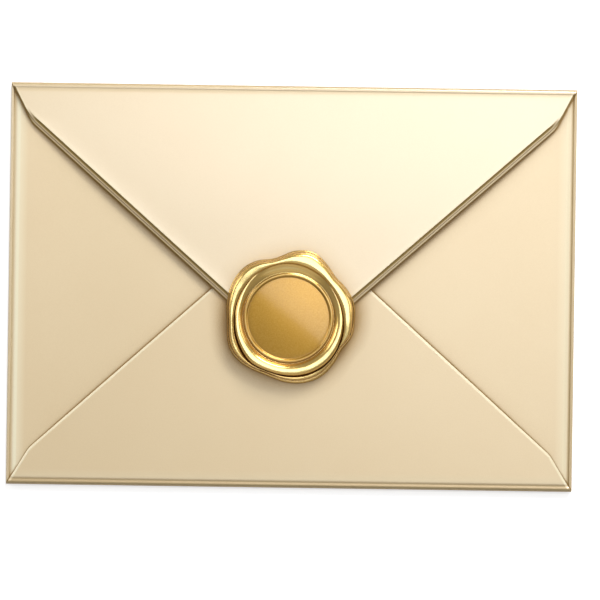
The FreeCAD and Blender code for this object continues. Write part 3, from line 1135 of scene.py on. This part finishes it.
    def panel_halves(self, edge: Edge) -> float:
        """Measure the address panel along one of its folds.

        Args:
            edge: The edge with that fold.

        Returns:
            Half its size there.
        """
        if edge.is_long:
            return self.half_length - self.flaps[Edge.LEFT].fold.radius
        return self.half_height - max(self.flaps[e].fold.radius for e in (Edge.TOP, Edge.BOTTOM))

    def panel_point(self, column: int, row: int) -> Vector:
        """Lay a vertex of the address panel, whose edges match the flaps' first rows.

        Args:
            column: Its column.
            row: Its row.

        Returns:
            The point, in millimetres.
        """
        across = self.column_positions(lambda inset: self.panel_halves(Edge.TOP) - inset)[column]
        half = self.panel_halves(Edge.LEFT)
        along = self.column_positions(lambda inset: half - inset)[row]
        end = self.flaps[Edge.TOP if along > 0 else Edge.BOTTOM]
        return Vector((across, along * (self.half_height - end.fold.radius) / half, 0.0))

    def paper_top(self, across: float, along: float) -> float:
        """Measure the height of the uppermost card at a point.

        Args:
            across: Distance right of the envelope's middle.
            along: Distance from its middle towards the top fold.

        Returns:
            Height over the table, in millimetres.
        """
        from_top, from_bottom = self.half_height - along, self.half_height + along
        for edge, depth in ((Edge.TOP, from_top), (Edge.BOTTOM, from_bottom)):
            flap = self.flaps[edge]
            if flap.outline.inset_at(across, depth) >= 0.0:
                return flap.lift(across, depth)
        return 2.0 * self.flaps[Edge.LEFT].fold.radius

    def draped_top(self, across: float, along: float, slope: float) -> float:
        """Measure something soft laid over the card, which slopes down past the top flap's edge.

        Args:
            across: Distance right of the envelope's middle.
            along: Distance from its middle towards the top fold.
            slope: How steeply it falls off the edge.

        Returns:
            Height over the table, in millimetres.
        """
        flap, depth = self.flaps[Edge.TOP], self.half_height - along
        past_edge = max(-flap.outline.inset_at(across, depth), 0.0)
        return max(self.paper_top(across, along), flap.lift(across, depth) - slope * past_edge)

    def build(self, finish: bpy.types.Material) -> bpy.types.Object:
        """Fold the sheet and dress it.

        Args:
            finish: The card's material.

        Returns:
            The envelope.
        """
        sheet = bmesh.new()
        sheet.verts.layers.float.new(TONE)
        across = 2 * len(self.insets) + self.interior_columns - 2
        laid_grid(sheet, across, across, lambda i, j: (self.panel_point(i, j), 0.0))
        for flap in self.flaps.values():
            rows = self.flap_rows(flap)
            if not flap.edge.is_long:
                first = [self.panel_point(0, row) for row in range(across + 1)]
                for (point, _), match in zip(rows[0], first):
                    point.y = match.y
            laid_grid(sheet, across, len(rows) - 1, lambda i, j, rows=rows: rows[j][i])
        bmesh.ops.remove_doubles(sheet, verts=sheet.verts, dist=self.merge)
        bmesh.ops.dissolve_degenerate(sheet, dist=self.sliver, edges=sheet.edges)
        bmesh.ops.recalc_face_normals(sheet, faces=sheet.faces)
        panel = min(sheet.faces, key=lambda face: face.calc_center_median().z)
        if panel.normal.z > 0:
            bmesh.ops.reverse_faces(sheet, faces=sheet.faces)
        wall = self.card * MM
        piece = finished_piece("folded_envelope", sheet, self.crease_angle, finish, wall)
        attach(piece, "root")
        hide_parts("envelope")
        LOG.info("%s: %d faces", piece.name, len(piece.data.polygons))
        return piece


@dataclass(frozen=True)
class Course:
    """A value that changes smoothly round the seal.

    Attributes:
        points: Angles from the right, in degrees and rising, each with its value.
    """

    points: Profile

    def at(self, degrees: float) -> float:
        """Read the value at an angle.

        Args:
            degrees: Angle from the right, counted towards the top fold.

        Returns:
            The value, on a smooth closed curve through the points.
        """
        count = len(self.points)
        after = next((i for i, (angle, _) in enumerate(self.points) if angle > degrees), count)
        near = [divmod(after + step, count) for step in (-2, -1, 0, 1)]
        angles = [self.points[index][0] + 360.0 * lap for lap, index in near]
        values = [self.points[index][1] for _, index in near]
        gap = angles[2] - angles[1]
        leave = (values[2] - values[0]) / (angles[2] - angles[0]) * gap
        arrive = (values[3] - values[1]) / (angles[3] - angles[1]) * gap
        share = (degrees - angles[1]) / gap
        square, cube = share**2, share**3
        start, end = 2 * cube - 3 * square + 1, 3 * square - 2 * cube
        bow = (cube - 2 * square + share) * leave
        return start * values[1] + bow + end * values[2] + (cube - square) * arrive


@dataclass
class WaxSeal:
    """The poured seal: two soft folds of wax round the plain hollow that the stamp left.

    Radii and heights are in millimetres. Going outwards, a profile has the stamped hollow, the
    inner fold, a valley, the outer fold and a thin skirt on the card. It is turned as a disc
    whose radii past the hollow only number its stations: 20 to 21 is the inner fold, 21 to 22
    the outer fold, 22 to 23 the skirt and 24 the underside's edge.

    Attributes:
        centre: The seal's centre on the envelope.
        steps: Number of faces round it.
        fold_rows: Number of rows up and down a fold.
        skirt_rows: Shares of the skirt's width at which it has rows.
        under_rows: Number of rows on the underside.
        hollow: Radius and height of the stamped hollow and of the ridge round it.
        inner_crest: Share of the inner fold's width at which it is highest.
        crest_limit: The largest such share, which leaves the fold a way down.
        inner_height: Height of the inner fold.
        inner_fullness: How squarely it rises: 1 is a straight slope.
        ripple: Height of the slight wave on it.
        valley: Radius of the valley.
        valley_height: Its height.
        outer_height: Height of the outer fold.
        outer_fullness: How squarely it rises: 2 is round.
        outer_foot: Height at which it meets the skirt.
        least_crest: Least height of the outer fold over the valley.
        slant: How steeply the folds' tops lean, as wax does that set on a slant.
        slant_towards: Angle in degrees from the right that they lean towards.
        outline: Radius of the skirt's edge.
        skirt: Width of the skirt.
        skirt_height: Height of the skirt, how far it swells, and how far its edge turns down.
        sunk: How far the underside is pressed into the card.
        tuck: How far it is drawn in from the skirt's edge.
        wobble: Height of the slow unevenness, its scale, and the level its noise is read at.
        wobble_from: Radii between which it comes in.
        wobble_above: Height over the card above which it shows.
        drape: Heights over the card below which the wax follows it, and above which it is level.
        drape_slope: How steeply the skirt falls off the top flap's edge.
        crease_angle: Angle in degrees above which an edge stays sharp.
        merge: Distance in metres within which vertices are joined.
    """

    inner_from: ClassVar[float] = 20.0
    outer_from: ClassVar[float] = 21.0
    skirt_from: ClassVar[float] = 22.0
    skirt_to: ClassVar[float] = 23.0
    under_from: ClassVar[float] = 24.0
    centre: tuple[float, float] = SEAL_CENTRE
    steps: int = 320
    fold_rows: int = 12
    skirt_rows: tuple[float, ...] = (0.12, 0.28, 0.45, 0.6, 0.72, 0.82, 0.9, 0.96, 0.99, 1.0)
    under_rows: int = 12
    hollow: Profile = (
        (0.0, 1.96), (2.5, 1.935), (5.0, 1.86), (7.5, 1.735), (9.5, 1.60), (10.8, 1.50),
        (11.35, 1.455), (11.5, 1.43), (11.62, 1.42), (11.74, 1.5), (11.86, 1.66), (12.0, 1.77),
        (12.2, 1.82), (12.4, 1.82), (12.6, 1.77), (12.75, 1.66), (12.88, 1.55), (13.0, 1.52),
        (13.1, 1.56),
    )
    inner_crest: Course = Course((
        (0, 0.74), (40, 0.96), (90, 1.0), (130, 0.96), (165, 0.66), (210, 0.6), (270, 0.6),
        (320, 0.62),
    ))
    crest_limit: float = 0.999
    inner_height: Course = Course((
        (0, 2.75), (45, 2.35), (90, 2.28), (135, 2.42), (180, 2.95), (225, 3.15), (270, 3.2),
        (315, 3.1),
    ))
    inner_fullness: Course = Course((
        (0, 2.6), (40, 1.3), (90, 1.05), (130, 1.3), (165, 2.8), (210, 4.0), (270, 4.0), (320, 3.4),
    ))
    ripple: Course = Course((
        (0, 0.0), (40, 0.03), (90, 0.045), (130, 0.03), (165, 0.0), (210, 0.0), (270, 0.0),
        (320, 0.0),
    ))
    valley: Course = Course((
        (0, 15.7), (30, 15.0), (60, 15.1), (90, 15.5), (120, 15.4), (150, 15.3), (180, 15.4),
        (210, 16.1), (230, 16.7), (250, 16.3), (270, 16.5), (290, 16.9), (310, 17.0), (330, 16.6),
    ))
    valley_height: Course = Course((
        (0, 2.45), (45, 2.35), (90, 2.3), (135, 2.35), (180, 2.3), (225, 1.3), (270, 1.0),
        (315, 1.2), (340, 2.0),
    ))
    outer_height: Course = Course((
        (0, 3.2), (90, 3.2), (135, 3.1), (180, 3.0), (210, 2.5), (235, 1.7), (270, 1.35),
        (300, 1.45), (322, 2.0), (342, 2.9),
    ))
    outer_fullness: Course = Course((
        (0, 4.4), (45, 4.0), (90, 3.8), (135, 3.4), (180, 3.2), (225, 2.8), (270, 3.0), (315, 3.6),
    ))
    outer_foot: float = 0.5
    least_crest: float = 0.1
    slant: float = 0.13
    slant_towards: float = 45.0
    outline: Course = Course((
        (0, 18.95), (15, 19.2), (30, 18.5), (42, 17.95), (55, 18.9), (70, 20.1), (85, 19.3),
        (96, 18.0), (106, 17.55), (120, 18.7), (132, 19.25), (150, 18.9), (165, 18.2), (180, 17.6),
        (190, 17.75), (200, 18.5), (211, 19.0), (221, 18.8), (232, 18.2), (246, 17.6),
        (256, 17.75), (270, 18.5), (285, 19.1), (300, 19.15), (315, 18.4), (330, 17.75),
        (345, 18.9),
    ))
    skirt: Course = Course((
        (0, 0.6), (45, 0.5), (90, 0.7), (135, 0.6), (180, 0.55), (225, 0.8), (270, 1.0), (315, 1.1),
    ))
    skirt_height: tuple[float, float, float] = (0.44, 0.08, 0.48)
    sunk: float = 0.06
    tuck: float = 0.1
    wobble: tuple[float, float, float] = (0.045, 0.3, 3.0)
    wobble_from: tuple[float, float] = (13.5, 15.5)
    wobble_above: float = 0.7
    drape: tuple[float, float] = (0.3, 1.4)
    drape_slope: float = 0.15
    crease_angle: float = 70.0
    merge: float = 0.000002

    def stations(self) -> list[float]:
        """Number the rows of the turned profile's upper side.

        Returns:
            Radii on the plain disc, from the centre to the skirt's edge.
        """
        rows, around = self.fold_rows, 2 * self.fold_rows
        inner = [self.inner_from + row / rows for row in range(1, rows)]
        middle = (self.outer_from + self.skirt_from) / 2.0
        outer = [middle - 0.5 * math.cos(math.pi * row / around) for row in range(around + 1)]
        skirt = [self.skirt_from + share for share in self.skirt_rows]
        return [radius for radius, _ in self.hollow] + inner + outer + skirt

    def lean(self, degrees: float) -> float:
        """Return the slope of the folds' tops at an angle, positive where they fall outwards."""
        return self.slant * math.cos(math.radians(degrees - self.slant_towards))

    def inner_fold(self, share: float, degrees: float, width: float) -> float:
        """Shape the inner fold.

        Args:
            share: Share of its width, going outwards.
            degrees: Angle from the right.
            width: Its width.

        Returns:
            The height over the card.
        """
        foot, low = self.hollow[-1][1], self.valley_height.at(degrees)
        crest = self.inner_height.at(degrees)
        top = min(self.inner_crest.at(degrees), self.crest_limit)
        rising = share < top
        base, part = (foot, 1.0 - share / top) if rising else (low, (share - top) / (1.0 - top))
        height = crest - (crest - base) * part ** self.inner_fullness.at(degrees)
        height += min(self.lean(degrees), 0.0) * (top - share) * width * (1.0 - part**4)
        return height + self.ripple.at(degrees) * math.sin(math.tau * share)

    def outer_fold(self, turn: float, degrees: float, width: float) -> float:
        """Shape the outer fold.

        Args:
            turn: Place across it, from -1 at the valley to 1 at the skirt.
            degrees: Angle from the right.
            width: Its width.

        Returns:
            The height over the card.
        """
        low = self.valley_height.at(degrees)
        crest = max(self.outer_height.at(degrees), low + self.least_crest)
        base = low if turn < 0 else self.outer_foot
        full = math.sqrt(max(1.0 - abs(turn) ** self.outer_fullness.at(degrees), 0.0))
        leaning = self.lean(degrees) * turn * width / 2.0 * (1.0 - turn**4)
        return base + (crest - base) * full - leaning

    def section(self, station: float, degrees: float) -> tuple[float, float]:
        """Place a station of the upper side at an angle.

        Args:
            station: Radius on the plain disc.
            degrees: Angle from the right.

        Returns:
            The radius, and the height over the card.
        """
        wall = self.hollow[-1][0]
        if station < (wall + self.inner_from) / 2.0:
            return station, along_profile(self.hollow, station)
        valley, rim = self.valley.at(degrees), self.outline.at(degrees)
        bead = rim - self.skirt.at(degrees)
        if station < self.outer_from:
            share = station - self.inner_from
            return wall + (valley - wall) * share, self.inner_fold(share, degrees, valley - wall)
        if station <= self.skirt_from:
            share = station - self.outer_from
            turn = 2.0 * (station - (self.outer_from + self.skirt_from) / 2.0)
            return valley + (bead - valley) * share, self.outer_fold(turn, degrees, bead - valley)
        if station > self.skirt_to:
            return rim - self.tuck, -self.sunk
        share = station - self.skirt_from
        level, swell, drop = self.skirt_height
        turned_down = drop * (1.0 - math.sqrt(1.0 - share**5))
        height = level + swell * math.sin(math.pi * share) - turned_down
        return bead + (rim - bead) * share, height

    def shaped(self, point: Vector, envelope: FoldedEnvelope) -> Vector:
        """Move a point of the plain disc to its place in the seal.

        Args:
            point: Point of the disc, in millimetres, with the underside below 0.
            envelope: The card that the seal lies on.

        Returns:
            The point in the envelope's frame, in millimetres.
        """
        station = math.hypot(point.x, point.y)
        angle = math.atan2(point.y, point.x)
        degrees = math.degrees(angle) % 360.0
        if point.z < 0.0:
            radius = station / self.under_from * (self.outline.at(degrees) - self.tuck)
            height = -self.sunk
        else:
            radius, height = self.section(station, degrees)
        x = self.centre[0] + radius * math.cos(angle)
        y = self.centre[1] + radius * math.sin(angle)
        if height > self.wobble_above:
            swing, scale, read_at = self.wobble
            uneven = noise.noise(Vector((x, y, read_at)) * scale)
            height += swing * smooth_step(radius, *self.wobble_from) * uneven
        level = envelope.paper_top(*self.centre)
        follow = 1.0 - smooth_step(height, *self.drape)
        if point.z < 0.0:
            under = envelope.paper_top(x, y)
        else:
            under = envelope.draped_top(x, y, self.drape_slope)
        return Vector((x, y, height + level + (under - level) * follow))

    def build(self, finish: bpy.types.Material, envelope: FoldedEnvelope) -> bpy.types.Object:
        """Turn the profile, shape its folds and dress the seal.

        Args:
            finish: The wax's material.
            envelope: The card that the seal lies on.

        Returns:
            The seal.
        """
        wax = bmesh.new()
        over = [(station, 1.0) for station in self.stations()]
        gap = self.under_from / self.under_rows
        under = [(self.under_from - gap * row, -1.0) for row in range(self.under_rows + 1)]
        chain = [wax.verts.new((radius * MM, 0.0, height * MM)) for radius, height in over + under]
        edges = [wax.edges.new(pair) for pair in zip(chain, chain[1:])]
        bmesh.ops.spin(
            wax,
            geom=chain + edges,
            cent=(0, 0, 0),
            axis=(0, 0, 1),
            angle=math.tau,
            steps=self.steps,
            use_merge=True,
        )
        bmesh.ops.remove_doubles(wax, verts=wax.verts, dist=self.merge)
        for vertex in wax.verts:
            vertex.co = self.shaped(vertex.co / MM, envelope) * MM
        bmesh.ops.recalc_face_normals(wax, faces=wax.faces)
        piece = finished_piece("poured_seal", wax, self.crease_angle, finish)
        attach(piece, "root")
        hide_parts("wax_seal")
        LOG.info("%s: %d faces", piece.name, len(piece.data.polygons))
        return piece


@dataclass(frozen=True)
class SoftLamp:
    """One soft lamp over the table, aimed at the envelope's middle.

    Attributes:
        name: Its name.
        place: Where it hangs, in metres.
        size: Width and height of its face, in metres.
        power: Its power, in watts.
    """

    name: str
    place: tuple[float, float, float]
    size: tuple[float, float]
    power: float

    def hang(self) -> None:
        """Hang the lamp and aim it."""
        light = bpy.data.lights.new(self.name, "AREA")
        light.shape = "RECTANGLE"
        light.size, light.size_y = self.size
        light.energy = self.power
        lamp = bpy.data.objects.new(self.name, light)
        lamp.location = self.place
        lamp.rotation_euler = (-Vector(self.place)).to_track_quat("-Z", "Y").to_euler()
        bpy.context.scene.collection.objects.link(lamp)


@dataclass
class Studio:
    """White table, soft lamps and the camera that looks straight down. Sizes are in metres.

    Attributes:
        lamps: The lamps.
        ambient: Strength of the sky as the object is lit by it.
        mirrored: Share of its further strength, up to white, that gloss shows.
        table_half: Half the table's side.
        table_drop: How far under the envelope the table lies.
        table_crease: Angle in degrees above which its edges stay sharp.
        table_grey: Colour of the table.
        table_roughness: Roughness of the table.
        table_glow: Strength that makes it white to the camera and in gloss.
        camera_place: Where the camera stands.
        camera_turn: How far it is turned, in degrees, as in the photograph.
        lens: Focal length, and width of the film, in millimetres.
    """

    lamps: tuple[SoftLamp, ...] = (
        SoftLamp("far_softbox", (0.28, 0.74, 0.47), (0.45, 0.28), 7.8),
        SoftLamp("front_fill", (-0.1, -0.75, 0.6), (0.8, 0.7), 0.65),
        SoftLamp("front_card", (0.0, -0.46, 1.0), (0.7, 0.45), 0.28),
        SoftLamp("overhead_softbox", (0.19, 0.24, 1.12), (0.64, 0.64), 3.0),
        SoftLamp("left_fill", (-0.72, 0.3, 0.42), (0.4, 0.5), 2.05),
        SoftLamp("right_fill", (0.8, 0.2, 0.4), (0.4, 0.5), 1.35),
    )
    ambient: float = 0.06
    mirrored: float = 0.3
    table_half: float = 3.0
    table_drop: float = 0.0001
    table_crease: float = 30.0
    table_grey: Colour = (0.9, 0.9, 0.9)
    table_roughness: float = 0.9
    table_glow: float = 0.55
    camera_place: tuple[float, float, float] = (0.002465, -0.003679, 0.7165)
    camera_turn: float = 0.835
    lens: tuple[float, float] = (150.0, 36.0)

    def lay_table(self) -> None:
        """Lay a white table just under the envelope."""
        top = bmesh.new()
        bmesh.ops.create_grid(top, x_segments=1, y_segments=1, size=self.table_half)
        bmesh.ops.translate(top, verts=top.verts, vec=(0.0, 0.0, -self.table_drop))
        bench = NodeBench("white_table")
        bench.shader.inputs["Base Color"].default_value = (*self.table_grey, 1.0)
        bench.fix({"Roughness": self.table_roughness, "Specular IOR Level": 0.0})
        glow = bench.blend(background_share(bench.tree, 1.0), BLACK, WHITE)
        bench.join(glow, bench.shader.inputs["Emission Color"])
        bench.fix({"Emission Strength": self.table_glow})
        finished_piece("white_table", top, self.table_crease, bench.material)

    def light(self) -> None:
        """Hang the lamps and set the sky."""
        for lamp in self.lamps:
            lamp.hang()
        world = bpy.data.worlds.new("white_room")
        world.use_nodes = True
        bpy.context.scene.world = world
        tree = world.node_tree
        strength = tree.nodes.new("ShaderNodeMapRange")
        strength.inputs["To Min"].default_value = self.ambient
        strength.inputs["To Max"].default_value = 1.0
        tree.links.new(background_share(tree, self.mirrored), strength.inputs["Value"])
        sky = tree.nodes["Background"]
        sky.inputs["Color"].default_value = (*WHITE, 1.0)
        tree.links.new(strength.outputs["Result"], sky.inputs["Strength"])

    def aim_camera(self) -> None:
        """Stand the camera over the envelope, turned as in the photograph."""
        view = bpy.data.cameras.new("overhead")
        view.lens, view.sensor_width = self.lens
        camera = bpy.data.objects.new("overhead", view)
        camera.location = self.camera_place
        camera.rotation_euler = (0.0, 0.0, math.radians(self.camera_turn))
        bpy.context.scene.collection.objects.link(camera)
        bpy.context.scene.camera = camera


def main() -> None:
    """Build the envelope, its seal and the studio round them."""
    logging.basicConfig(level=logging.INFO)
    bpy.context.scene.view_settings.view_transform = "Standard"
    studio = Studio()
    studio.aim_camera()
    studio.lay_table()
    studio.light()
    envelope = FoldedEnvelope()
    envelope.build(PearlCardFinish().material())
    WaxSeal().build(GoldWaxFinish().material(), envelope)


if __name__ == "__main__":
    main()
